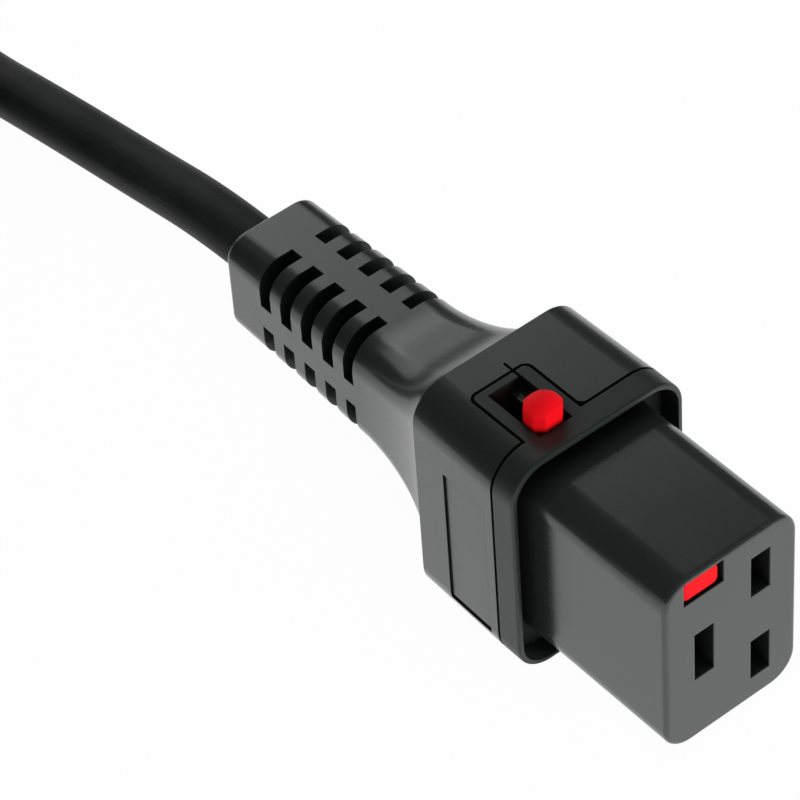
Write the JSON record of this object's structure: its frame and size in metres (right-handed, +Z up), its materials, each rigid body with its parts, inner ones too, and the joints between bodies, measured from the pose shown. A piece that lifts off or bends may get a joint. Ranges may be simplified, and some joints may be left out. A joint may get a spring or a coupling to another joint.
{
  "type": "c19 power connector",
  "caption": "Locking C19 cord connector with a red release slider, moulded strain relief, black lead coiled and tied, and a plug on the far end.",
  "frame": {"origin": "centre of the connector's mating face", "axes": "-Y is the way the connector is pushed into an inlet, +Y is the cord side, +X is to the right seen from the front, +Z is up, the side with the release button"},
  "size_m": [0.113, 0.2194, 0.0367],
  "materials": {
    "insert_black": "satin moulded",
    "collar_black": "fine moulded",
    "grip_black": "fine moulded",
    "premould_black": "plain moulded",
    "slider_red": "smooth",
    "plate_steel": "brushed",
    "spring_steel": "drawn",
    "contact_brass": "tinned",
    "strand_copper": "bare",
    "core_brown": "extruded",
    "core_blue": "extruded",
    "core_green_yellow": "extruded",
    "cord_black": "extruded, satin",
    "tie_black": "satin",
    "pin_nickel": "nickel plated"
  },
  "bodies": {
    "housing": {"contact_insert": "insert_black", "insert_back_cover": "insert_black", "front_collar": "collar_black", "grip_moulding": "grip_black", "inner_premould": "premould_black", "lock_spring": "spring_steel", "cord_jacket_end": "cord_black", "cord_lead": "cord_black", "cord_coil": "cord_black", "cord_tie": "tie_black", "cord_tail": "cord_black", "plug_grip": "grip_black", "plug_shroud": "insert_black", "line_contact": "contact_brass", "line_strands": "strand_copper", "line_core": "core_brown", "plug_line_pin": "pin_nickel", "neutral_contact": "contact_brass", "neutral_strands": "strand_copper", "neutral_core": "core_blue", "plug_neutral_pin": "pin_nickel", "earth_contact": "contact_brass", "earth_strands": "strand_copper", "earth_core": "core_green_yellow", "plug_earth_pin": "pin_nickel"},
    "slider": {"release_slider": "slider_red"},
    "plate": {"lock_plate": "plate_steel"}
  },
  "joints": [
    {"name": "release_slide", "type": "slide", "parent": "housing", "child": "slider", "axis": [0, 1, 0], "range_m": [0, 0.004], "stiffness_N_per_m": 300, "deforming": ["lock_spring"]},
    {"name": "lock_tilt", "type": "hinge", "parent": "housing", "child": "plate", "pos_m": [-0.00415, 0.0116, -0.0056], "axis": [-1, 0, 0], "range_deg": [0, 13.9]}
  ],
  "couplings": [
    {"joint": "lock_tilt", "follows": "release_slide", "rad_per_m": 60.46}
  ]
}
